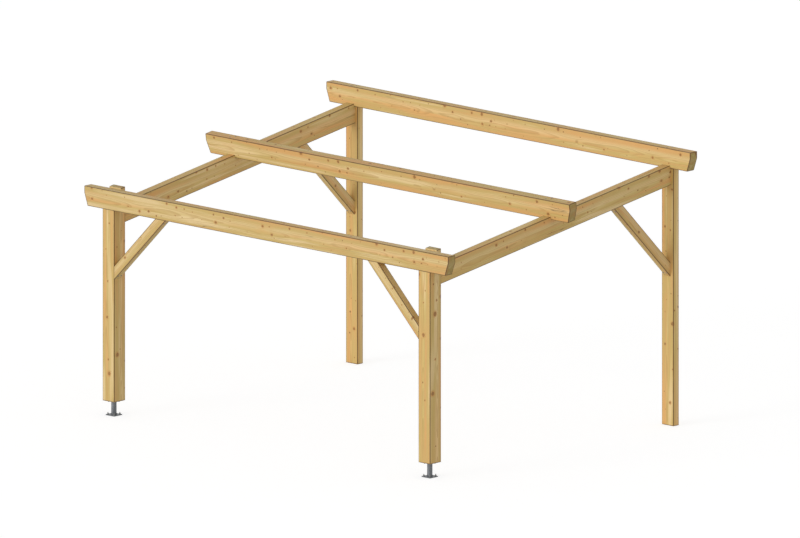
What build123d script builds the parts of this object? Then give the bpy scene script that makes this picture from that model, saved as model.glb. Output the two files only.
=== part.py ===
from build123d import *
import math
import os

os.makedirs("parts", exist_ok=True)

# Lean-to timber frame, in millimetres. The origin is on the ground at the middle of the footprint:
# +X runs along the wall, +Y points at the wall and +Z up.

# Driving sizes of the whole frame
frame_width = 4500
frame_depth = 3600
eaves_height = 2300
roof_slope = 0.15
purlin_length = 5000

# Timber sections
post_width = 160
wall_post_depth = 80
beam_width = 100
beam_height = 200
brace_width = 80
brace_height = 100
arris = 3

# Shaped purlin ends: an upright part above a slanting undercut
purlin_end_upright = 70
purlin_end_undercut = 45

# Depth by which the middle purlin is notched over the side beams
beam_notch = 30

# Knee braces at 45 degrees: reach along the front purlin, and height of the foot on the wall post
front_brace_reach = 700
wall_brace_foot = 1520

# Tenons: thickness, width and length, and their rise above a side beam's underside
beam_tenon_thickness = 40
beam_tenon_width = 100
front_beam_tenon_length = 60
wall_beam_tenon_length = 40
beam_tenon_rise = 30
brace_tenon_thickness = 30
brace_tenon_width = 80
brace_tenon_length = 30

# Steel feet of the front posts
foot_height = 150
base_plate_size = 120
base_plate_thickness = 8
base_plate_corner = 6
anchor_spacing = 84
anchor_hole_radius = 6
stem_radius = 27
stem_wall = 3
head_plate_size = 100
head_plate_thickness = 8
head_plate_corner = 4
head_screw_spacing = 74
head_screw_hole_radius = 4
dowel_radius = 10
dowel_length = 100
dowel_tip_chamfer = 2
dowel_bore_clearance = 0.5
dowel_bore_spare_depth = 5

# Places worked out from the driving sizes
front_y = -frame_depth / 2
wall_y = frame_depth / 2
post_x = (frame_width - post_width) / 2
inner_x = frame_width / 2 - post_width
post_y = front_y + post_width / 2
post_back_y = front_y + post_width
wall_post_front_y = wall_y - wall_post_depth
wall_purlin_front_y = wall_y - beam_width
purlin_spacing = (wall_purlin_front_y - front_y) / 2
purlin_seat = eaves_height - beam_height
pitch = math.degrees(math.atan(roof_slope))
run = math.cos(math.radians(pitch))
rise = math.sin(math.radians(pitch))
brace_cut = brace_height * math.sqrt(2)
front_brace_y = front_y + brace_width / 2
front_brace_foot = purlin_seat - front_brace_reach


def roof_height(y):
    """Height of the roof plane, which holds the top front edge of every purlin."""
    return eaves_height + roof_slope * (y - front_y)


def beam_top(y):
    """Height of a side beam's top, on which the notched middle purlin sits."""
    return roof_height(y) - (beam_height - beam_notch) / run


def beam_underside(y):
    """Height of a side beam's underside."""
    return beam_top(y) - beam_height / run


wall_purlin_seat = roof_height(wall_purlin_front_y) - beam_height


def wall_brace_reach(foot):
    """Distance from the wall post at which a 45 degree line from that height meets the side beam."""
    return (beam_underside(wall_post_front_y) - foot) / (1 + roof_slope)


# Directions of the sloping timbers, used to find their long arrises
slope_axis = Axis((0, 0, 0), (0, run, rise))
wall_brace_axis = Axis((0, 0, 0), (0, -1, 1))

front_brace_head_tenons = []
for side, hand in ((-1, "left"), (1, "right")):
    # Blocks that are both a tenon on one timber and the mortise for it in the other
    front_tenon_underside = beam_underside(post_back_y) + beam_tenon_rise
    with BuildPart() as front_beam_tenon:
        with Locations((side * post_x, post_back_y, front_tenon_underside)):
            Box(
                beam_tenon_thickness,
                front_beam_tenon_length,
                beam_tenon_width,
                align=(Align.CENTER, Align.MAX, Align.MIN),
            )

    wall_tenon_underside = beam_underside(wall_post_front_y) + beam_tenon_rise
    with BuildPart() as wall_beam_tenon:
        with Locations((side * post_x, wall_post_front_y, wall_tenon_underside)):
            Box(
                beam_tenon_thickness,
                wall_beam_tenon_length,
                beam_tenon_width,
                align=(Align.CENTER, Align.MIN, Align.MIN),
            )

    with BuildPart() as front_brace_foot_tenon:
        with Locations((side * inner_x, front_brace_y, front_brace_foot + brace_cut / 2)):
            Box(
                brace_tenon_length,
                brace_tenon_thickness,
                brace_tenon_width,
                align=(Align.MIN if side > 0 else Align.MAX, Align.CENTER, Align.CENTER),
            )

    front_brace_head_x = inner_x - front_brace_reach + brace_cut / 2
    with BuildPart() as front_brace_head_tenon:
        with Locations((side * front_brace_head_x, front_brace_y, purlin_seat)):
            Box(
                brace_tenon_width,
                brace_tenon_thickness,
                brace_tenon_length,
                align=(Align.CENTER, Align.CENTER, Align.MIN),
            )
    front_brace_head_tenons.append(front_brace_head_tenon.part)

    with BuildPart() as wall_brace_foot_tenon:
        with Locations((side * post_x, wall_post_front_y, wall_brace_foot + brace_cut / 2)):
            Box(
                brace_tenon_thickness,
                brace_tenon_length,
                brace_tenon_width,
                align=(Align.CENTER, Align.MIN, Align.CENTER),
            )

    wall_brace_lower_reach = wall_brace_reach(wall_brace_foot)
    wall_brace_upper_reach = wall_brace_reach(wall_brace_foot + brace_cut)
    wall_brace_head_y = wall_post_front_y - (wall_brace_lower_reach + wall_brace_upper_reach) / 2
    wall_brace_head_plane = Plane(
        origin=(side * post_x, wall_brace_head_y, beam_underside(wall_brace_head_y)),
        x_dir=(1, 0, 0),
        z_dir=(0, -rise, run),
    )
    with BuildPart() as wall_brace_head_tenon:
        with Locations(wall_brace_head_plane):
            Box(
                brace_tenon_thickness,
                brace_tenon_width,
                brace_tenon_length,
                align=(Align.CENTER, Align.CENTER, Align.MIN),
            )

    # Front post: notched in front for the purlin, its tongue cut off along the roof plane
    with BuildPart() as front_post:
        with BuildSketch(Plane.XY.offset(foot_height)):
            with Locations((side * post_x, post_y)):
                Rectangle(post_width, post_width)
        extrude(amount=roof_height(post_back_y) - foot_height)
        chamfer(front_post.edges().filter_by(Axis.Z), length=arris)
        with BuildSketch(Plane.YZ.offset(side * post_x)):
            with BuildLine():
                Polyline(
                    (front_y, purlin_seat),
                    (front_y + beam_width, purlin_seat),
                    (front_y + beam_width, roof_height(front_y + beam_width)),
                    (post_back_y, roof_height(post_back_y)),
                    (front_y, roof_height(post_back_y)),
                    close=True,
                )
            make_face()
        extrude(amount=post_width / 2, both=True, mode=Mode.SUBTRACT)
        with Locations((side * post_x, post_y, foot_height)):
            Cylinder(
                dowel_radius + dowel_bore_clearance,
                dowel_length + dowel_bore_spare_depth,
                align=(Align.CENTER, Align.CENTER, Align.MIN),
                mode=Mode.SUBTRACT,
            )
        add(front_beam_tenon.part, mode=Mode.SUBTRACT)
        add(front_brace_foot_tenon.part, mode=Mode.SUBTRACT)
    front_post.part.label = f"front_post_{hand}"
    export_step(front_post.part, f"parts/front_post_{hand}.step")

    # Wall post: stands on the ground and carries the wall purlin on its top
    with BuildPart() as wall_post:
        with BuildSketch(Plane.XY):
            with Locations((side * post_x, wall_y - wall_post_depth / 2)):
                Rectangle(post_width, wall_post_depth)
        extrude(amount=wall_purlin_seat)
        chamfer(wall_post.edges().filter_by(Axis.Z), length=arris)
        add(wall_beam_tenon.part, mode=Mode.SUBTRACT)
        add(wall_brace_foot_tenon.part, mode=Mode.SUBTRACT)
    wall_post.part.label = f"wall_post_{hand}"
    export_step(wall_post.part, f"parts/wall_post_{hand}.step")

    # Side beam: parallel to the roof, cut plumb at both ends with a tenon into each post, and notched
    # at the top of its wall end, where the wall purlin stands proud of the wall post
    with BuildPart() as side_beam:
        with BuildSketch(Plane.YZ.offset(side * post_x)):
            with BuildLine():
                Polyline(
                    (post_back_y, beam_underside(post_back_y)),
                    (wall_post_front_y, beam_underside(wall_post_front_y)),
                    (wall_post_front_y, wall_purlin_seat),
                    (wall_purlin_front_y, wall_purlin_seat),
                    (wall_purlin_front_y, beam_top(wall_purlin_front_y)),
                    (post_back_y, beam_top(post_back_y)),
                    close=True,
                )
            make_face()
        extrude(amount=beam_width / 2, both=True)
        chamfer(side_beam.edges().filter_by(slope_axis), length=arris)
        add(front_beam_tenon.part)
        add(wall_beam_tenon.part)
        add(wall_brace_head_tenon.part, mode=Mode.SUBTRACT)
    side_beam.part.label = f"side_beam_{hand}"
    export_step(side_beam.part, f"parts/side_beam_{hand}.step")

    # Front knee brace: flush with the front of the post and the purlin
    front_brace_axis = Axis((0, 0, 0), (-side, 0, 1))
    with BuildPart() as front_brace:
        with BuildSketch(Plane.XZ.offset(-front_brace_y)):
            with BuildLine():
                Polyline(
                    (side * inner_x, front_brace_foot),
                    (side * (inner_x - front_brace_reach), purlin_seat),
                    (side * (inner_x - front_brace_reach + brace_cut), purlin_seat),
                    (side * inner_x, front_brace_foot + brace_cut),
                    close=True,
                )
            make_face()
        extrude(amount=brace_width / 2, both=True)
        chamfer(front_brace.edges().filter_by(front_brace_axis), length=arris)
        add(front_brace_foot_tenon.part)
        add(front_brace_head_tenon.part)
    front_brace.part.label = f"front_brace_{hand}"
    export_step(front_brace.part, f"parts/front_brace_{hand}.step")

    # Wall knee brace: centred on the wall post, up to the side beam's underside
    wall_brace_top = wall_brace_foot + brace_cut
    with BuildPart() as wall_brace:
        with BuildSketch(Plane.YZ.offset(side * post_x)):
            with BuildLine():
                Polyline(
                    (wall_post_front_y, wall_brace_foot),
                    (wall_post_front_y - wall_brace_lower_reach, wall_brace_foot + wall_brace_lower_reach),
                    (wall_post_front_y - wall_brace_upper_reach, wall_brace_top + wall_brace_upper_reach),
                    (wall_post_front_y, wall_brace_top),
                    close=True,
                )
            make_face()
        extrude(amount=brace_width / 2, both=True)
        chamfer(wall_brace.edges().filter_by(wall_brace_axis), length=arris)
        add(wall_brace_foot_tenon.part)
        add(wall_brace_head_tenon.part)
    wall_brace.part.label = f"wall_brace_{hand}"
    export_step(wall_brace.part, f"parts/wall_brace_{hand}.step")

    # Steel foot: base plate with four anchor holes
    foot_centre = (side * post_x, post_y)
    with BuildPart() as base_plate:
        with BuildSketch(Plane.XY):
            with Locations(foot_centre):
                RectangleRounded(base_plate_size, base_plate_size, base_plate_corner)
                with GridLocations(anchor_spacing, anchor_spacing, 2, 2):
                    Circle(anchor_hole_radius, mode=Mode.SUBTRACT)
        extrude(amount=base_plate_thickness)
    base_plate.part.label = f"foot_base_plate_{hand}"
    export_step(base_plate.part, f"parts/foot_base_plate_{hand}.step")

    # Steel foot: round tube between the plates
    with BuildPart() as stem:
        with BuildSketch(Plane.XY.offset(base_plate_thickness)):
            with Locations(foot_centre):
                Circle(stem_radius)
                Circle(stem_radius - stem_wall, mode=Mode.SUBTRACT)
        extrude(amount=foot_height - base_plate_thickness - head_plate_thickness)
    stem.part.label = f"foot_stem_{hand}"
    export_step(stem.part, f"parts/foot_stem_{hand}.step")

    # Steel foot: head plate under the post's end, with four screw holes
    with BuildPart() as head_plate:
        with BuildSketch(Plane.XY.offset(foot_height - head_plate_thickness)):
            with Locations(foot_centre):
                RectangleRounded(head_plate_size, head_plate_size, head_plate_corner)
                with GridLocations(head_screw_spacing, head_screw_spacing, 2, 2):
                    Circle(head_screw_hole_radius, mode=Mode.SUBTRACT)
        extrude(amount=head_plate_thickness)
    head_plate.part.label = f"foot_head_plate_{hand}"
    export_step(head_plate.part, f"parts/foot_head_plate_{hand}.step")

    # Steel foot: dowel that stands in the bore of the post's end
    with BuildPart() as dowel:
        with BuildSketch(Plane.XY.offset(foot_height)):
            with Locations(foot_centre):
                Circle(dowel_radius)
        extrude(amount=dowel_length)
        chamfer(dowel.faces().sort_by(Axis.Z)[-1].edges(), length=dowel_tip_chamfer)
    dowel.part.label = f"foot_dowel_{hand}"
    export_step(dowel.part, f"parts/foot_dowel_{hand}.step")

# Purlins: alike in outline, the middle one tilted square to the roof plane
half_purlin = purlin_length / 2
upright = (0, -1, 0)
square_to_roof = (0, -run, -rise)
purlin_facings = {"front_purlin": upright, "middle_purlin": square_to_roof, "wall_purlin": upright}
for row, (name, facing) in enumerate(purlin_facings.items()):
    purlin_y = front_y + row * purlin_spacing
    purlin_face = Plane(origin=(0, purlin_y, roof_height(purlin_y)), x_dir=(1, 0, 0), z_dir=facing)
    with BuildPart() as purlin:
        with BuildSketch(purlin_face):
            with BuildLine():
                Polyline(
                    (0, 0),
                    (half_purlin, 0),
                    (half_purlin, -purlin_end_upright),
                    (half_purlin - purlin_end_undercut, -beam_height),
                    (0, -beam_height),
                )
                mirror(about=Plane.YZ)
            make_face()
        extrude(amount=-beam_width)
        chamfer(purlin.edges().filter_by(Axis.X), length=arris)
        if name == "middle_purlin":
            with BuildSketch(purlin_face):
                with Locations((0, -beam_height)):
                    with GridLocations(2 * post_x, 0, 2, 1):
                        Rectangle(beam_width, beam_notch, align=(Align.CENTER, Align.MIN))
            extrude(amount=-beam_width, mode=Mode.SUBTRACT)
        if name == "front_purlin":
            add(front_brace_head_tenons, mode=Mode.SUBTRACT)
    purlin.part.label = name
    export_step(purlin.part, f"parts/{name}.step")
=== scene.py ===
import math
import random

import bmesh
import bpy
from mathutils import Matrix, Vector


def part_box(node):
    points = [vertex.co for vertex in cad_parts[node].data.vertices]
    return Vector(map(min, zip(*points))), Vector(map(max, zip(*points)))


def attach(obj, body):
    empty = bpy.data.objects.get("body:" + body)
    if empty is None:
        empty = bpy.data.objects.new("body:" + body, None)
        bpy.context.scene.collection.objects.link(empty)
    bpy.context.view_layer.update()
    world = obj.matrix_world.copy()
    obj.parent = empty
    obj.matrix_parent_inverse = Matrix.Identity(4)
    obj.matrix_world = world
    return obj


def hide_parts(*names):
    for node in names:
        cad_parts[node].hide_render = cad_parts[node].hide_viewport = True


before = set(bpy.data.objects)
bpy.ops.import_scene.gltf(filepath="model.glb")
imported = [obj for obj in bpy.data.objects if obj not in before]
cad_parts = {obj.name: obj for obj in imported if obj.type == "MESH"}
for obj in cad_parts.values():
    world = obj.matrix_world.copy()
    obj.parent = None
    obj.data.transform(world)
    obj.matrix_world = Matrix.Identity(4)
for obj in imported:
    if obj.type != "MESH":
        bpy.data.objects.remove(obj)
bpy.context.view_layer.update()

# Dresses the timber frame: solid wood, galvanised feet, fixings, and a pale studio round it. Metres

# The picture: a parallel projection, seen from the front right and a little above
PICTURE_WIDTH = 800
PICTURE_HEIGHT = 538
PIXELS_PER_METRE = 100.378
ORIGIN_PIXEL = (390.745, 420.057)
CAMERA_AZIMUTH = math.radians(43.524)
CAMERA_ELEVATION = math.radians(11.90)
CAMERA_DISTANCE = 30.0

# The light: an even white surround, a lamp from the front left, and a floor that glows up to white
SURROUND_LIGHT = 0.62
SURROUND_WHITE = 1.0
LAMP_STRENGTH = 1.54
LAMP_SPREAD = math.radians(35)
TOWARDS_LAMP = Vector((-0.22, -0.90, 0.10))
FLOOR_REACH = 60.0
FLOOR_TONE = (0.75, 0.75, 0.75, 1)
FLOOR_SHADOW_TONE = (0.45, 0.45, 0.45, 1)
FLOOR_GLOW = 0.70
WHITE = (1, 1, 1, 1)

# Directions of the timbers: along the grain, and level across it
LEVEL_X = Vector((1, 0, 0))
LEVEL_Y = Vector((0, 1, 0))
PLUMB = Vector((0, 0, 1))
ROOF_SLOPE = 0.15
ROOF_PITCH = math.atan(ROOF_SLOPE)
UP_THE_ROOF = Vector((0, math.cos(ROOF_PITCH), math.sin(ROOF_PITCH)))


def shade(red, green, blue):
    """A colour as it is read off a screen, from 0 to 255, as the linear colour that a shader takes."""
    linear = [(value / 255 / 12.92 if value <= 10 else ((value / 255 + 0.055) / 1.055) ** 2.4)
              for value in (red, green, blue)]
    return (*linear, 1.0)


class Wire:
    """A node's output. An expression on wires adds the Math nodes that work it out."""

    def __init__(self, tree, socket):
        self.tree = tree
        self.socket = socket

    def __add__(self, other):
        return self.tree.math("ADD", self, other)

    def __radd__(self, other):
        return self.tree.math("ADD", other, self)

    def __sub__(self, other):
        return self.tree.math("SUBTRACT", self, other)

    def __rsub__(self, other):
        return self.tree.math("SUBTRACT", other, self)

    def __mul__(self, other):
        return self.tree.math("MULTIPLY", self, other)

    def __truediv__(self, other):
        return self.tree.math("DIVIDE", self, other)

    def __abs__(self):
        return self.tree.math("ABSOLUTE", self)


class NodeTree:
    """Adds nodes to one tree of a material or of a geometry pattern."""

    def __init__(self, tree):
        self.nodes = tree.nodes
        self.links = tree.links

    def node(self, kind, settings, sockets):
        """A new node: its settings are set first, then its sockets get their values or wires."""
        made = self.nodes.new(kind)
        for name, value in settings.items():
            if name == "stops":
                self.set_stops(made.color_ramp, value)
            else:
                setattr(made, name, value)
        for name, value in sockets.items():
            socket = self.socket(made.inputs, name)
            if isinstance(value, Wire):
                self.links.new(value.socket, socket)
            elif isinstance(value, list):
                for one in value:
                    self.links.new(one.socket, socket)
            else:
                socket.default_value = value
        return made

    def wire(self, kind, settings, sockets, output=0):
        """A new node's output, by its place or name."""
        return Wire(self, self.socket(self.node(kind, settings, sockets).outputs, output))

    @staticmethod
    def socket(sockets, name):
        """A socket by its place, its identifier or its name."""
        if isinstance(name, int):
            return sockets[name]
        return next((s for s in sockets if s.identifier == name), None) or sockets[name]

    @staticmethod
    def set_stops(ramp, stops):
        """Gives a colour ramp its stops, each a position and a colour."""
        while len(ramp.elements) < len(stops):
            ramp.elements.new(1.0)
        for element, (position, colour) in zip(ramp.elements, stops):
            element.position = position
            element.color = colour

    def math(self, operation, *values):
        return self.wire("ShaderNodeMath", {"operation": operation}, dict(enumerate(values)))

    def least(self, one, other):
        return self.math("MINIMUM", one, other)

    def most(self, one, other):
        return self.math("MAXIMUM", one, other)

    def length(self, one, other):
        """The distance that two offsets at right angles make together."""
        return self.math("SQRT", one * one + other * other)

    def rise(self, value, start, end):
        """0 before start and 1 past end, with a smooth change between them, whichever is larger."""
        settings = {"interpolation_type": "SMOOTHSTEP"}
        return self.wire("ShaderNodeMapRange", settings, {"Value": value, "From Min": start, "From Max": end})

    def parts(self, vector):
        """The three numbers of a vector or colour."""
        made = self.node("ShaderNodeSeparateXYZ", {}, {"Vector": vector})
        return [Wire(self, socket) for socket in made.outputs]

    def vector(self, x, y, z):
        return self.wire("ShaderNodeCombineXYZ", {}, {"X": x, "Y": y, "Z": z})

    def stretch(self, vector, x, y, z):
        """A vector with its three numbers multiplied."""
        return self.wire("ShaderNodeVectorMath", {"operation": "MULTIPLY"}, {0: vector, 1: (x, y, z)})

    def dot(self, vector, direction):
        """How far a vector reaches along a fixed direction."""
        sockets = {0: vector, 1: tuple(direction)}
        return self.wire("ShaderNodeVectorMath", {"operation": "DOT_PRODUCT"}, sockets, "Value")

    def noise(self, place, seed, detail=2.0):
        """Cloudy noise about 0, mostly between -0.25 and 0.25, of one unit's size."""
        sockets = {"Vector": place, "W": seed, "Scale": 1.0, "Detail": detail}
        return self.wire("ShaderNodeTexNoise", {"noise_dimensions": "4D"}, sockets) - 0.5

    def seen(self):
        """1 for a ray that shows the surround, and 0 for one that only carries its light."""
        path = self.node("ShaderNodeLightPath", {}, {})
        rays = ("Is Camera Ray", "Is Glossy Ray", "Is Transmission Ray")
        camera, glossy, clear = (Wire(self, path.outputs[ray]) for ray in rays)
        return self.most(camera, self.most(glossy, clear))

    def mix(self, factor, one, other, blend="MIX"):
        """A blend of two colours."""
        settings = {"data_type": "RGBA", "blend_type": blend}
        sockets = {"Factor_Float": factor, "A_Color": one, "B_Color": other}
        return self.wire("ShaderNodeMix", settings, sockets, "Result_Color")


class Finish(NodeTree):
    """A material's nodes, which end in one Principled BSDF."""

    def __init__(self, name):
        self.material = bpy.data.materials.new(name)
        self.material.use_nodes = True
        super().__init__(self.material.node_tree)
        self.nodes.clear()

    def place(self, middle=(0, 0, 0), turn=(0, 0, 0)):
        """Object coordinates in a piece's own frame, which has that middle and turn."""
        at = self.wire("ShaderNodeTexCoord", {}, {}, "Object")
        sockets = {"Vector": at, "Location": tuple(middle), "Rotation": tuple(turn)}
        return self.wire("ShaderNodeMapping", {"vector_type": "TEXTURE"}, sockets)

    def surface(self, **sockets):
        """Ends the tree. A name has its words joined by _, as in Base_Color."""
        values = {name.replace("_", " "): value for name, value in sockets.items()}
        bsdf = self.node("ShaderNodeBsdfPrincipled", {}, values)
        output = self.node("ShaderNodeOutputMaterial", {}, {})
        self.links.new(bsdf.outputs["BSDF"], output.inputs["Surface"])
        return self.material

    def bump(self, height_mm):
        """A normal from a height in millimetres."""
        return self.wire("ShaderNodeBump", {}, {"Height": height_mm, "Distance": 0.001})


class Pattern(NodeTree):
    """A Geometry Nodes tree that makes one fitting and sets a copy of it at each place it is given."""

    def __init__(self, name, sizes):
        self.group = bpy.data.node_groups.new(name, "GeometryNodeTree")
        super().__init__(self.group)
        sockets = self.group.interface
        sockets.new_socket("Places", in_out="INPUT", socket_type="NodeSocketGeometry")
        for size in sizes:
            sockets.new_socket(size, in_out="INPUT", socket_type="NodeSocketFloat")
        sockets.new_socket("Finish", in_out="INPUT", socket_type="NodeSocketMaterial")
        sockets.new_socket("Fittings", in_out="OUTPUT", socket_type="NodeSocketGeometry")
        given = self.node("NodeGroupInput", {}, {})
        self.given = {socket.name: Wire(self, socket) for socket in given.outputs if socket.name}

    def bar(self, sides, radius, height, steps=1, rings=1):
        """A closed round bar that stands on zero."""
        counts = {"Vertices": sides, "Side Segments": steps, "Fill Segments": rings}
        sockets = {**counts, "Radius": radius, "Depth": height}
        middled = self.wire("GeometryNodeMeshCylinder", {}, sockets, "Mesh")
        return self.raised(middled, height * 0.5)

    def raised(self, shape, height):
        sockets = {"Geometry": shape, "Translation": self.vector(0, 0, height)}
        return self.wire("GeometryNodeTransform", {}, sockets)

    def position(self):
        """Where a vertex is: its three numbers."""
        return self.parts(self.wire("GeometryNodeInputPosition", {}, {}))

    def reshaped(self, shape, x, y, z):
        sockets = {"Geometry": shape, "Position": self.vector(x, y, z)}
        return self.wire("GeometryNodeSetPosition", {}, sockets)

    def boolean(self, operation, sockets):
        """A shape cut by others, without the slivers that a cut can leave."""
        settings = {"operation": operation, "solver": "EXACT"}
        cut = self.wire("GeometryNodeMeshBoolean", settings, sockets, "Mesh")
        return self.wire("GeometryNodeMergeByDistance", {}, {"Geometry": cut, "Distance": 0.00001})

    def set_out(self, shapes, soft_angle):
        """Ends the tree. Each copy faces outward at its place, with a random turn about that direction."""
        joined = self.wire("GeometryNodeJoinGeometry", {}, {"Geometry": shapes})
        sockets = {"Geometry": joined, "Shade Smooth": True}
        smooth = self.wire("GeometryNodeSetShadeSmooth", {"domain": "FACE"}, sockets)
        edge_angle = self.wire("GeometryNodeInputMeshEdgeAngle", {}, {}, "Unsigned Angle")
        sockets = {"A": edge_angle, "B": soft_angle}
        sharp = self.wire("FunctionNodeCompare", {"operation": "GREATER_THAN"}, sockets)
        sockets = {"Geometry": smooth, "Selection": sharp, "Shade Smooth": False}
        fitting = self.wire("GeometryNodeSetShadeSmooth", {"domain": "EDGE"}, sockets)
        settings = {"data_type": "FLOAT_VECTOR"}
        outward = self.wire("GeometryNodeInputNamedAttribute", settings, {"Name": "outward"})
        facing = self.wire("FunctionNodeAlignRotationToVector", {"axis": "Z"}, {"Vector": outward})
        sockets = {"Min_001": 0.0, "Max_001": math.tau, "Seed": 7}
        spin = self.wire("FunctionNodeRandomValue", {"data_type": "FLOAT"}, sockets, "Value_001")
        about = self.wire("FunctionNodeEulerToRotation", {}, {"Euler": self.vector(0, 0, spin)})
        sockets = {"Rotation": facing, "Rotate By": about}
        turned = self.wire("FunctionNodeRotateRotation", {"rotation_space": "LOCAL"}, sockets)
        sockets = {"Points": self.given["Places"], "Instance": fitting, "Rotation": turned}
        copies = self.wire("GeometryNodeInstanceOnPoints", {}, sockets)
        real = self.wire("GeometryNodeRealizeInstances", {}, {"Geometry": copies})
        sockets = {"Geometry": real, "Material": self.given["Finish"]}
        finished = self.wire("GeometryNodeSetMaterial", {}, sockets)
        self.node("NodeGroupOutput", {}, {"Fittings": finished})


class Timber:
    """A timber's own frame, from its CAD node: u runs along the grain, v and w across it."""

    def __init__(self, node, along, across):
        self.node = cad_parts[node]
        self.along = along
        self.axes = (along, across, along.cross(across))
        points = [vertex.co for vertex in self.node.data.vertices]
        spans = [[f(point.dot(axis) for point in points) for f in (min, max)] for axis in self.axes]
        self.half = [(high - low) / 2 for low, high in spans]
        centres = [axis * (low + high) / 2 for axis, (low, high) in zip(self.axes, spans)]
        self.middle = sum(centres, Vector())
        self.turn = Matrix(self.axes).transposed().to_euler()
        self.cuts = self.end_cuts(points)

    def end_cuts(self, points):
        """The planes of the end cuts that bound the timber: outward normal, and reach along it."""
        cuts = []
        for polygon in self.node.data.polygons:
            normal = polygon.normal.copy()
            reach = max(point.dot(normal) for point in points)
            at_the_end = abs(normal.dot(self.along)) > 0.3
            outermost = reach - polygon.center.dot(normal) < SAME_PLANE
            known = any(normal.dot(other) > SAME_WAY for other, _ in cuts)
            if at_the_end and outermost and not known:
                cuts.append((normal, reach))
        return cuts

    def point(self, u, v, w):
        """A place in the timber's own frame, in the shared frame."""
        offsets = [axis * distance for axis, distance in zip(self.axes, (u, v, w))]
        return self.middle + sum(offsets, Vector())

    def is_arris(self, edge):
        """Whether an edge is rounded: one of a long chamfer, or of the outline of an end cut."""
        if len(edge.link_faces) != 2 or edge.calc_face_angle_signed() < EASED_ANGLE:
            return False
        run = edge.verts[1].co - edge.verts[0].co
        lengthwise = run.length > JOINT_LENGTH and abs(run.normalized().dot(self.along)) > SAME_WAY
        ends = [plane for plane in self.cuts
                if all(abs(plane[1] - vertex.co.dot(plane[0])) < SAME_PLANE for vertex in edge.verts)]
        return lengthwise or len(ends) == 1

    def planed_copy(self):
        """The timber as its own closed mesh, with the edges of its chamfers and ends rounded."""
        loose = self.node.data.copy()
        if "custom_normal" in loose.attributes:
            loose.attributes.remove(loose.attributes["custom_normal"])
        shape = bmesh.new()
        shape.from_mesh(loose)
        bpy.data.meshes.remove(loose)
        bmesh.ops.remove_doubles(shape, verts=shape.verts, dist=1e-5)
        bmesh.ops.dissolve_limit(shape, angle_limit=math.radians(1), verts=shape.verts, edges=shape.edges)
        corners = [edge for edge in shape.edges if self.is_arris(edge)]
        bmesh.ops.bevel(shape, geom=corners, offset=CORNER_EASE, segments=2, profile=0.5, affect="EDGES",
                        clamp_overlap=True)
        bmesh.ops.triangulate(shape, faces=[face for face in shape.faces if len(face.verts) > 4])
        for face in shape.faces:
            face.smooth = False
        mesh = bpy.data.meshes.new(self.node.name + "_planed")
        shape.to_mesh(mesh)
        shape.free()
        mesh.materials.clear()
        piece = bpy.data.objects.new(self.node.name + "_planed", mesh)
        bpy.context.scene.collection.objects.link(piece)
        return piece


# Tones of planed softwood, as they are on the lit front faces
CREAM = shade(238, 210, 152)
STRAW = shade(212, 184, 110)
HONEY = shade(217, 180, 110)
PEACH = shade(228, 176, 106)
LATE_GROWTH = shade(184, 138, 72)
KNOT_HEART = shade(150, 104, 46)
KNOT_HALO = shade(202, 142, 72)
CHECK_DARK = shade(88, 60, 34)
END_GRAIN = shade(206, 208, 188)
# A painted shade, multiplied into the faces that look up
TOP_PAINTED_SHADE = shade(238, 240, 248)
# The colour of the painted dark outline and painted shade along edges and joints
PAINTED_EDGE_SHADE = shade(92, 55, 12)

PITH_WANDER = 0.03
RING_SPACING = 0.0042
KNOT_RING_SPACING = 0.0017
BARK_LINE = 0.0012
PALE_BAND_PLACE = 0.02
PALE_BAND_HALF_WIDTH = 0.045
# Width of the painted dark outline on the edges
ARRIS_LINE = 0.0086

# Planing rounds the edges of the chamfers a little. An edge shorter than a joint is part of one, and
# stays sharp
CORNER_EASE = 0.0012
EASED_ANGLE = math.radians(10)
JOINT_LENGTH = 0.16

# Points this near a plane lie in it, and directions whose dot product is above this are the same
SAME_PLANE = 1e-4
SAME_WAY = 0.9995


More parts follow.
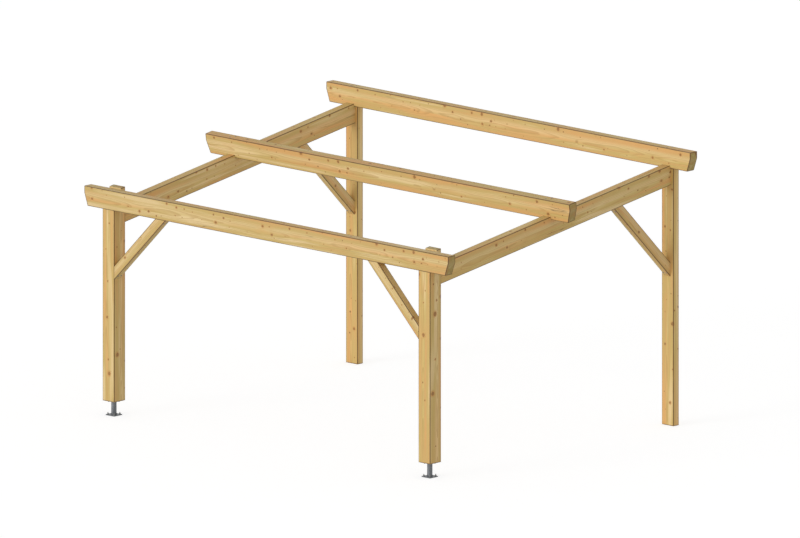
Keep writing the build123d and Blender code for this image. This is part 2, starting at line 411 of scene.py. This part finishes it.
def timber_finish(name, timber, pith, seed, knot_spacing, knots_round, knot_size, paleness):
    """Solid softwood: rings round a pith, knots that grow out of it, darker ends, a painted shade on the
    tops, and painted dark outlines on the arrises.
    """
    wood = Finish(name)
    own = random.Random(seed)
    place = wood.place(timber.middle, timber.turn)
    u, v, w = wood.parts(place)

    # The pith wanders a little along the timber, and the rings lie round it
    drift = wood.stretch(place, 0.9, 0, 0)
    out = v - pith[0] + wood.noise(drift, seed + 0.3) * PITH_WANDER
    up = w - pith[1] + wood.noise(drift, seed + 5.7) * PITH_WANDER
    radius = wood.length(out, up)

    # Angle round the pith, counted from the middle of the section, so that it never jumps inside it
    facing = math.atan2(-pith[1], -pith[0])
    ahead = out * math.cos(facing) + up * math.sin(facing)
    aside = up * math.cos(facing) - out * math.sin(facing)
    angle = wood.math("ARCTAN2", aside, ahead)

    # Knots: one branch in each cell of a grid along the trunk and round it
    cell_turn = math.tau / knots_round
    along_cells = u / knot_spacing + own.uniform(10, 90)
    round_cells = angle / cell_turn
    grid = wood.vector(along_cells, round_cells, 0)
    settings = {"voronoi_dimensions": "2D", "feature": "F1"}
    branch = wood.node("ShaderNodeTexVoronoi", settings, {"Vector": grid, "Scale": 1.0, "Randomness": 0.85})
    branch_along, branch_round, _ = wood.parts(Wire(wood, branch.outputs["Position"]))
    thick, there, dead = wood.parts(Wire(wood, branch.outputs["Color"]))
    off_along = (along_cells - branch_along) * knot_spacing * 0.8
    off_round = (round_cells - branch_round) * cell_turn * radius
    wobble = 1 + wood.noise(wood.stretch(place, 60, 90, 90), seed) * 0.8
    off_knot = wood.length(off_along, off_round) * wobble
    knot_radius = (thick * thick * thick * 1.1 + 0.4) * (radius * 5 + 0.45) * knot_size
    present = wood.rise(there, 0.25, 0.3)
    knot = wood.rise(off_knot, knot_radius * 1.1, knot_radius * 0.85) * present
    halo = wood.rise(off_knot, knot_radius * 2.8, knot_radius * 0.8) * present
    off_bark = abs(off_knot - knot_radius)
    bark = wood.rise(off_bark, BARK_LINE, BARK_LINE / 3) * present * wood.rise(dead, 0.45, 0.6)

    # Growth rings, drawn out along the trunk and pushed round the knots
    ripple = wood.noise(wood.stretch(place, 2.2, 14, 14), seed + 2.1, detail=3) * 0.012
    flow = radius + u * 0.004 + ripple + halo * knot_radius * 0.7
    count = flow / RING_SPACING
    uneven = count + wood.noise(wood.vector(count * 0.3, 0, 0), seed + 9.2, detail=0) * 2.4
    growth = wood.math("FRACT", uneven)
    late = wood.rise(growth, 0.35, 0.93) * wood.rise(growth, 1.0, 0.95)

    # Broad streaks of tone along the grain
    streak = wood.noise(wood.stretch(place, 0.8, 17, 17), seed + 4.4, detail=2.5)
    stops = [(0.34, CREAM), (0.44, STRAW), (0.53, HONEY), (0.63, PEACH)]
    tone = wood.wire("ShaderNodeValToRGB", {"stops": stops}, {"Fac": streak + 0.5})
    off_band = abs(w - PALE_BAND_PLACE + wood.noise(wood.stretch(place, 1.6, 0, 0), seed + 6.6) * 0.05)
    band = wood.rise(off_band, PALE_BAND_HALF_WIDTH, 0.0)
    tone = wood.mix(band * 0.6, tone, CREAM)
    blotch = wood.noise(wood.stretch(place, 3.0, 9, 9), seed + 7.7, detail=3)
    tone = wood.mix(wood.rise(blotch, 0.04, 0.25) * 0.45, tone, PEACH)
    fibre = wood.noise(wood.stretch(place, 6, 420, 420), seed + 8.1, detail=2)

    colour = wood.mix(late * 0.42, tone, LATE_GROWTH)
    colour = wood.mix(wood.rise(fibre, 0.0, 0.4) * 0.3, colour, LATE_GROWTH)
    colour = wood.mix(halo * halo * 0.85, colour, KNOT_HALO)
    core_rings = wood.math("FRACT", off_knot / KNOT_RING_SPACING) * 0.25
    colour = wood.mix(knot * (0.95 - core_rings), colour, KNOT_HEART)
    colour = wood.mix(bark * 0.8, colour, CHECK_DARK)

    # Fine drying checks, thin and few, that follow the grain
    split = abs(wood.noise(wood.stretch(place, 1.1, 33, 33), seed + 3.3, detail=1))
    open_here = wood.rise(wood.noise(wood.stretch(place, 1.4, 7, 7), seed + 12.5), 0.12, 0.2)
    check = wood.rise(split, 0.012, 0.004) * open_here
    colour = wood.mix(check * 0.55, colour, CHECK_DARK)

    # End grain is darker and greyer. The tops are painted a little darker and greyer too, a painted shade on
    # the faces that look up
    normal = wood.wire("ShaderNodeNewGeometry", {}, {}, "Normal")
    end = wood.rise(abs(wood.dot(normal, timber.along)), 0.6, 0.8)
    colour = wood.mix(end, colour, END_GRAIN, "MULTIPLY")
    top = wood.rise(wood.dot(normal, PLUMB), 0.85, 0.97)
    colour = wood.mix(top, colour, TOP_PAINTED_SHADE, "MULTIPLY")

    # Edges are painted darker, a painted dark outline that is painted shade where an end cut meets the next
    # part: on a side face they lie where the next side or an end cut is near
    at = wood.place()
    side = wood.least(timber.half[1] - abs(v), timber.half[2] - abs(w))
    edge = wood.most(timber.half[1] - abs(v), timber.half[2] - abs(w))
    for cut_normal, reach in timber.cuts:
        edge = wood.least(edge, wood.most(side, reach - wood.dot(at, cut_normal)))
    # The painted outline and shade wander a little along the edge
    painted_outline_edge = edge + wood.noise(wood.stretch(place, 9, 30, 30), seed + 1.9) * 0.003
    arris = wood.rise(painted_outline_edge, ARRIS_LINE, ARRIS_LINE * 0.55)
    colour = wood.mix(arris * 0.88, colour, PAINTED_EDGE_SHADE)

    colour = wood.mix(1.0, colour, (paleness, paleness, paleness, 1.0), "MULTIPLY")
    height = late * 0.05 + fibre * 0.12 - check * 0.5 - bark * 0.2 + knot * 0.05
    roughness = 0.62 + fibre * 0.25 - knot * 0.12
    return wood.surface(Base_Color=colour, Roughness=roughness, Normal=wood.bump(height))


def steel_finish():
    """Hot-dip galvanised steel: dull grey, with soft crystals and faint streaks."""
    steel = Finish("galvanised_steel")
    place = steel.place()
    settings = {"voronoi_dimensions": "3D", "feature": "F1"}
    crystals = steel.wire("ShaderNodeTexVoronoi", settings, {"Vector": place, "Scale": 210.0}, "Color")
    crystal, _, _ = steel.parts(crystals)
    cloud = steel.noise(steel.stretch(place, 40, 40, 12), 3.0, detail=3)
    tone = 0.5 + (crystal - 0.5) * 0.2 + cloud * 0.8
    stops = [(0.25, shade(86, 88, 91)), (0.75, shade(133, 136, 140))]
    colour = steel.wire("ShaderNodeValToRGB", {"stops": stops}, {"Fac": tone})
    roughness = 0.5 + cloud * 0.3 - crystal * 0.08
    height = crystal * 0.02 + cloud * 0.1
    return steel.surface(Base_Color=colour, Metallic=0.55, Roughness=roughness, Normal=steel.bump(height))


def zinc_finish():
    """Bright zinc plating, as on screws, nuts and washers: smoother and paler than the plates."""
    zinc = Finish("zinc_plating")
    place = zinc.place()
    cloud = zinc.noise(zinc.stretch(place, 90, 90, 90), 5.0, detail=3)
    stops = [(0.3, shade(112, 114, 114)), (0.7, shade(156, 156, 152))]
    colour = zinc.wire("ShaderNodeValToRGB", {"stops": stops}, {"Fac": cloud + 0.5})
    bump = zinc.bump(cloud * 0.03)
    return zinc.surface(Base_Color=colour, Metallic=0.8, Roughness=0.38 + cloud * 0.25, Normal=bump)


def weld_finish():
    """Weld metal under zinc paint: duller and rougher than the plates, with a cloudy tone."""
    weld = Finish("painted_weld")
    place = weld.place()
    cloud = weld.noise(weld.stretch(place, 150, 150, 150), 8.0, detail=3)
    stops = [(0.3, shade(86, 88, 91)), (0.7, shade(124, 127, 130))]
    colour = weld.wire("ShaderNodeValToRGB", {"stops": stops}, {"Fac": cloud + 0.5})
    bump = weld.bump(cloud * 0.15)
    return weld.surface(Base_Color=colour, Metallic=0.4, Roughness=0.58 + cloud * 0.2, Normal=bump)


# Kinds of timber: slot, pith off the section's middle, spacing of the knots, how many round, their size
KINDS = {
    "purlin": ("purlin_timber", (0.076, -0.012), 0.13, 9, 0.0070),
    "front_post": ("post_timber", (-0.02, 0.025), 0.20, 6, 0.0115),
    "wall_post": ("post_timber", (-0.01, 0.046), 0.20, 7, 0.0080),
    "side_beam": ("beam_timber", (0.076, -0.02), 0.15, 9, 0.0070),
    "wall_brace": ("brace_timber", (-0.045, -0.02), 0.20, 6, 0.0080),
    "front_brace": ("brace_timber", (0.045, 0.02), 0.20, 6, 0.0080),
}


def dress_timbers():
    """Gives every timber rounded edges and its own solid-wood finish, and returns them by name."""
    seeds = iter(range(11, 200, 13))
    rows = [
        ("front_purlin", "purlin", LEVEL_X, LEVEL_Y, 0.96),
        ("middle_purlin", "purlin", LEVEL_X, UP_THE_ROOF, 0.97),
        ("wall_purlin", "purlin", LEVEL_X, LEVEL_Y, 1.0),
    ]
    for hand, side in (("left", -1), ("right", 1)):
        up_to_purlin = Vector((-side, 0, 1)).normalized()
        up_to_beam = Vector((0, -1, 1)).normalized()
        rows += [
            (f"front_post_{hand}", "front_post", PLUMB, LEVEL_X, 1.03),
            (f"wall_post_{hand}", "wall_post", PLUMB, LEVEL_X, 1.11),
            (f"side_beam_{hand}", "side_beam", UP_THE_ROOF, -LEVEL_X, 1.03),
            (f"wall_brace_{hand}", "wall_brace", up_to_beam, LEVEL_X, 0.97),
            (f"front_brace_{hand}", "front_brace", up_to_purlin, -side * LEVEL_Y, 0.98),
        ]
    timbers = {}
    for name, kind, along, across, paleness in rows:
        slot, pith, knot_spacing, knots_round, knot_size = KINDS[kind]
        timber = Timber(name, along, across)
        material = timber_finish(
            name + "_wood", timber, pith, next(seeds), knot_spacing, knots_round, knot_size, paleness)
        planed = timber.planed_copy()
        planed.data.materials.append(material)
        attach(planed, "root")
        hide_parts(name)
        timbers[name] = timber
    return timbers


def dress_feet():
    """Gives every steel node the galvanised finish."""
    steel = steel_finish()
    for name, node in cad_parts.items():
        if name.startswith("foot_"):
            node.data.materials[0] = steel


# Fixings of the feet: M10 anchor bolts, and 8 mm hexagon-headed wood screws under the head plate
ANCHOR_SIZES = {
    "Across flats": 0.016,
    "Nut height": 0.008,
    "Washer radius": 0.010,
    "Washer height": 0.002,
    "Stud radius": 0.005,
    "Stud reach": 0.021,
    "Stud sink": 0.008,
    "Thread pitch": 0.0015,
}
FOOT_SCREW_SIZES = {
    "Across flats": 0.012,
    "Nut height": 0.0055,
    "Washer radius": 0.008,
    "Washer height": 0.0016,
    "Stud radius": 0.003,
    "Stud reach": 0.004,
    "Stud sink": 0.008,
    "Thread pitch": 0.0015,
}
ANCHOR_INSET = 0.018
FOOT_SCREW_INSET = 0.013

# Radius of a nut's flat face, as a share of its width, and the thread's depth and tip, of the stud's radius
NUT_FACE_SHARE = 0.47
THREAD_DEPTH_SHARE = 0.14
TIP_CHAMFER_SHARE = 0.16

# Washer-headed screws that hold the timbers together
TIMBER_SCREW_SIZES = {
    "Head radius": 0.0085,
    "Head height": 0.0028,
    "Socket radius": 0.0029,
    "Socket depth": 0.002,
}
FLANGE_SHARE = 0.38
SCREW_ASIDE = 0.02
BRACE_SCREW_FROM_END = 0.055
TONGUE_SCREW_ASIDE = 0.045
TONGUE_SCREW_HEIGHTS = (0.095, 0.16)

# Fillet welds between the stem and its two plates
WELD_SIZES = {
    "Ring radius": 0.0280,
    "Bead radius": 0.0038,
    "Ripple pitch": 0.0032,
}
WELD_SINK = 0.00095


def hexagon_pattern():
    """A washer and a chamfered hexagon, with the end of a threaded stud where that reaches out of it."""
    pattern = Pattern("hexagon_fixing", list(ANCHOR_SIZES))
    flats, nut_height, washer_radius, washer_height, stud_radius, stud_reach, stud_sink, pitch = (
        pattern.given[size] for size in ANCHOR_SIZES)
    washer = pattern.bar(40, washer_radius, washer_height)

    # Two blunt cones, base to base, take the corners off the hexagon at 30 degrees
    hexagon = pattern.bar(6, flats / math.sqrt(3), nut_height)
    face_radius = flats * NUT_FACE_SHARE
    x, y, z = pattern.position()
    swell = 1 + (1 - abs(z / nut_height * 2 - 1)) * nut_height * math.sqrt(3) / 2 / face_radius
    cones = pattern.reshaped(pattern.bar(48, face_radius, nut_height, steps=2), x * swell, y * swell, z)
    nut = pattern.boolean("INTERSECT", {"Mesh 2": [hexagon, cones]})

    # The thread is one ridge that winds up the stud, which ends in a chamfer
    turned = z / pitch - pattern.math("ARCTAN2", y, x) / math.tau
    groove = abs(pattern.math("FRACT", turned) * 2 - 1)
    length = stud_reach + stud_sink
    tip = pattern.rise(z, length - pitch, length)
    waist = 1 - groove * THREAD_DEPTH_SHARE - tip * TIP_CHAMFER_SHARE
    plain = pattern.bar(24, stud_radius, length, steps=76)
    stud = pattern.reshaped(plain, x * waist, y * waist, z - stud_sink)
    pattern.set_out([washer, pattern.raised(nut, washer_height), stud], math.radians(35))
    return pattern


def timber_screw_pattern():
    """A low domed head on a wide flange, with a six-lobed socket."""
    pattern = Pattern("timber_screw", list(TIMBER_SCREW_SIZES))
    radius, height, socket_radius, socket_depth = (pattern.given[size] for size in TIMBER_SCREW_SIZES)
    x, y, z = pattern.position()
    out = pattern.length(x, y)
    dome = FLANGE_SHARE + pattern.rise(out / radius, 0.8, 0.45) * (1 - FLANGE_SHARE)
    head = pattern.reshaped(pattern.bar(36, radius, height, rings=8), x, y, z * dome)
    lobe = 1 + pattern.math("COSINE", pattern.math("ARCTAN2", y, x) * 6) * 0.13
    plain = pattern.bar(36, socket_radius, height)
    cutter = pattern.reshaped(plain, x * lobe, y * lobe, z + height - socket_depth)
    pattern.set_out([pattern.boolean("DIFFERENCE", {"Mesh 1": head, "Mesh 2": cutter})], math.radians(35))
    return pattern


def weld_pattern():
    """A ring of weld metal with even ripples, half sunk in the corner that it fills."""
    pattern = Pattern("weld_bead", list(WELD_SIZES))
    ring_radius, bead_radius, pitch = (pattern.given[size] for size in WELD_SIZES)
    ring = pattern.wire("GeometryNodeCurvePrimitiveCircle", {}, {"Resolution": 288, "Radius": ring_radius})
    section = pattern.wire("GeometryNodeCurvePrimitiveCircle", {}, {"Resolution": 12, "Radius": bead_radius})
    bead = pattern.wire("GeometryNodeCurveToMesh", {}, {"Curve": ring, "Profile Curve": section})
    x, y, z = pattern.position()
    ripples = pattern.math("ROUND", ring_radius * math.tau / pitch)
    phase = pattern.math("ARCTAN2", y, x) * ripples + z / bead_radius * 1.4
    uneven = pattern.noise(pattern.stretch(pattern.vector(x, y, z), 160, 160, 160), 1.5)
    swell = pattern.math("SINE", phase) * 0.1 + uneven * 0.5
    normal = pattern.wire("GeometryNodeInputNormal", {}, {})
    settings = {"operation": "SCALE"}
    offset = pattern.wire("ShaderNodeVectorMath", settings, {0: normal, "Scale": swell * bead_radius})
    rippled = pattern.wire("GeometryNodeSetPosition", {}, {"Geometry": bead, "Offset": offset})
    pattern.set_out([rippled], math.radians(80))
    return pattern


def add_fittings(name, pattern, sizes, finish, places):
    """One plain mesh with the pattern's fitting at each place, a point and the direction it faces."""
    mesh = bpy.data.meshes.new(name)
    mesh.from_pydata([point for point, _ in places], [], [])
    outward = mesh.attributes.new("outward", "FLOAT_VECTOR", "POINT")
    for value, (_, direction) in zip(outward.data, places):
        value.vector = direction
    piece = bpy.data.objects.new(name, mesh)
    bpy.context.scene.collection.objects.link(piece)
    modifier = piece.modifiers.new(name, "NODES")
    modifier.node_group = pattern.group
    given = {**sizes, "Finish": finish}
    for socket in pattern.group.interface.items_tree:
        if socket.name in given:
            modifier[socket.identifier] = given[socket.name]
    evaluated = piece.evaluated_get(bpy.context.evaluated_depsgraph_get())
    piece.data = bpy.data.meshes.new_from_object(evaluated)
    piece.modifiers.clear()
    piece.data.materials.clear()
    piece.data.materials.append(finish)
    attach(piece, "root")


def plate_places(plate, inset, face):
    """The four places near the corners of a plate, on its upper or lower face."""
    low, high = (Vector(corner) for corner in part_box(plate))
    level = high.z if face.z > 0 else low.z
    return [(Vector((x, y, level)), face)
            for x in (low.x + inset, high.x - inset)
            for y in (low.y + inset, high.y - inset)]


def fix_feet(zinc):
    """Anchor bolts, screws and welds of both feet."""
    hexagon = hexagon_pattern()
    weld = weld_pattern()
    painted = weld_finish()
    for hand in ("left", "right"):
        anchors = plate_places(f"foot_base_plate_{hand}", ANCHOR_INSET, PLUMB)
        screws = plate_places(f"foot_head_plate_{hand}", FOOT_SCREW_INSET, -PLUMB)
        add_fittings(f"anchor_bolts_{hand}", hexagon, ANCHOR_SIZES, zinc, anchors)
        add_fittings(f"foot_screws_{hand}", hexagon, FOOT_SCREW_SIZES, zinc, screws)
        low, high = (Vector(corner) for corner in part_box(f"foot_stem_{hand}"))
        centre = (low + high) / 2
        levels = ((low.z + WELD_SINK, PLUMB), (high.z - WELD_SINK, -PLUMB))
        rings = [(Vector((centre.x, centre.y, level)), facing) for level, facing in levels]
        add_fittings(f"foot_welds_{hand}", weld, WELD_SIZES, painted, rings)


def purlin_screws(purlin, post_line):
    """Two screws, set a little askew, through the top of a purlin over each side of the frame."""
    return [(purlin.point(side * post_line + aside, aside, purlin.half[2]), purlin.axes[2])
            for side in (-1, 1)
            for aside in (-SCREW_ASIDE, SCREW_ASIDE)]


def tongue_screws(post, purlin_low):
    """Four screws through the back of a post's tongue into the front purlin."""
    back = post.middle.y + post.half[2]
    return [(Vector((post.middle.x + x, back, purlin_low + z)), LEVEL_Y)
            for x in (-TONGUE_SCREW_ASIDE, TONGUE_SCREW_ASIDE)
            for z in TONGUE_SCREW_HEIGHTS]


def brace_screws(brace):
    """Two screws near each end of the lower face of a brace."""
    across = brace.axes[1]
    outward = brace.axes[2] if brace.axes[2].z < 0 else -brace.axes[2]
    points = [vertex.co for vertex in brace.node.data.vertices]
    face = max(point.dot(outward) for point in points)
    lengthwise = [point.dot(brace.along) for point in points if face - point.dot(outward) < SAME_PLANE]
    ends = (min(lengthwise) + BRACE_SCREW_FROM_END, max(lengthwise) - BRACE_SCREW_FROM_END)
    middle = brace.middle.dot(across)
    return [(brace.along * end + across * (middle + aside) + outward * face, outward)
            for end in ends
            for aside in (-SCREW_ASIDE, SCREW_ASIDE)]


def fix_timbers(timbers, zinc):
    """The screws that show on the finished frame, one piece for each kind of joint."""
    screw = timber_screw_pattern()
    post_line = timbers["front_post_right"].middle.x
    purlin_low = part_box("front_purlin")[0][2]
    over_posts = purlin_screws(timbers["wall_purlin"], post_line)
    over_beams = purlin_screws(timbers["middle_purlin"], post_line)
    add_fittings("wall_purlin_screws", screw, TIMBER_SCREW_SIZES, zinc, over_posts)
    add_fittings("middle_purlin_screws", screw, TIMBER_SCREW_SIZES, zinc, over_beams)
    for hand in ("left", "right"):
        in_tongue = tongue_screws(timbers[f"front_post_{hand}"], purlin_low)
        front_brace, wall_brace = timbers[f"front_brace_{hand}"], timbers[f"wall_brace_{hand}"]
        in_braces = brace_screws(front_brace) + brace_screws(wall_brace)
        add_fittings(f"tongue_screws_{hand}", screw, TIMBER_SCREW_SIZES, zinc, in_tongue)
        add_fittings(f"brace_screws_{hand}", screw, TIMBER_SCREW_SIZES, zinc, in_braces)


def stage_finish():
    """A pale floor that looks white where nothing shades it. It can't be seen from below."""
    floor = Finish("pale_floor")
    plain = floor.wire("ShaderNodeBsdfDiffuse", {}, {"Color": FLOOR_TONE})
    soft = floor.wire("ShaderNodeBsdfDiffuse", {}, {"Color": FLOOR_SHADOW_TONE})
    glow = floor.wire("ShaderNodeEmission", {}, {"Color": WHITE, "Strength": FLOOR_GLOW})
    lit = floor.wire("ShaderNodeAddShader", {}, {0: soft, 1: glow})
    top = floor.wire("ShaderNodeMixShader", {}, {0: floor.seen(), 1: plain, 2: lit})
    clear = floor.wire("ShaderNodeBsdfTransparent", {}, {})
    under = floor.wire("ShaderNodeNewGeometry", {}, {}, "Backfacing")
    both = floor.wire("ShaderNodeMixShader", {}, {0: under, 1: top, 2: clear})
    floor.node("ShaderNodeOutputMaterial", {}, {"Surface": both})
    return floor.material


def make_stage():
    """The floor, the even white surround and the one soft lamp."""
    mesh = bpy.data.meshes.new("studio_floor")
    corners = [(x * FLOOR_REACH, y * FLOOR_REACH, 0) for x, y in ((-1, -1), (1, -1), (1, 1), (-1, 1))]
    mesh.from_pydata(corners, [], [(0, 1, 2, 3)])
    mesh.materials.append(stage_finish())
    floor = bpy.data.objects.new("studio_floor", mesh)
    bpy.context.scene.collection.objects.link(floor)

    world = bpy.data.worlds.new("studio")
    world.use_nodes = True
    surround = NodeTree(world.node_tree)
    surround.nodes.clear()
    light = surround.wire("ShaderNodeBackground", {}, {"Color": WHITE, "Strength": SURROUND_LIGHT})
    white = surround.wire("ShaderNodeBackground", {}, {"Color": WHITE, "Strength": SURROUND_WHITE})
    mixed = surround.wire("ShaderNodeMixShader", {}, {0: surround.seen(), 1: light, 2: white})
    surround.node("ShaderNodeOutputWorld", {}, {"Surface": mixed})
    bpy.context.scene.world = world

    lamp = bpy.data.lights.new("soft_lamp", "SUN")
    lamp.energy = LAMP_STRENGTH
    lamp.angle = LAMP_SPREAD
    lamp_object = bpy.data.objects.new("soft_lamp", lamp)
    lamp_object.rotation_euler = TOWARDS_LAMP.to_track_quat("Z", "Y").to_euler()
    bpy.context.scene.collection.objects.link(lamp_object)


def make_camera():
    """The parallel camera, placed so that the middle of the footprint falls on its pixel."""
    right = Vector((math.cos(CAMERA_AZIMUTH), math.sin(CAMERA_AZIMUTH), 0))
    back = Vector((
        math.sin(CAMERA_AZIMUTH) * math.cos(CAMERA_ELEVATION),
        -math.cos(CAMERA_AZIMUTH) * math.cos(CAMERA_ELEVATION),
        math.sin(CAMERA_ELEVATION),
    ))
    up = back.cross(right)
    rightwards = (PICTURE_WIDTH / 2 - ORIGIN_PIXEL[0]) / PIXELS_PER_METRE
    upwards = (ORIGIN_PIXEL[1] - PICTURE_HEIGHT / 2) / PIXELS_PER_METRE
    data = bpy.data.cameras.new("camera")
    data.type = "ORTHO"
    data.ortho_scale = PICTURE_WIDTH / PIXELS_PER_METRE
    data.clip_end = 200.0
    camera = bpy.data.objects.new("camera", data)
    camera.location = right * rightwards + up * upwards + back * CAMERA_DISTANCE
    camera.rotation_euler = Matrix((right, up, back)).transposed().to_euler()
    bpy.context.scene.collection.objects.link(camera)
    bpy.context.scene.camera = camera


timbers = dress_timbers()
dress_feet()
zinc = zinc_finish()
fix_feet(zinc)
fix_timbers(timbers, zinc)
make_stage()
make_camera()
bpy.context.scene.view_settings.view_transform = "Standard"
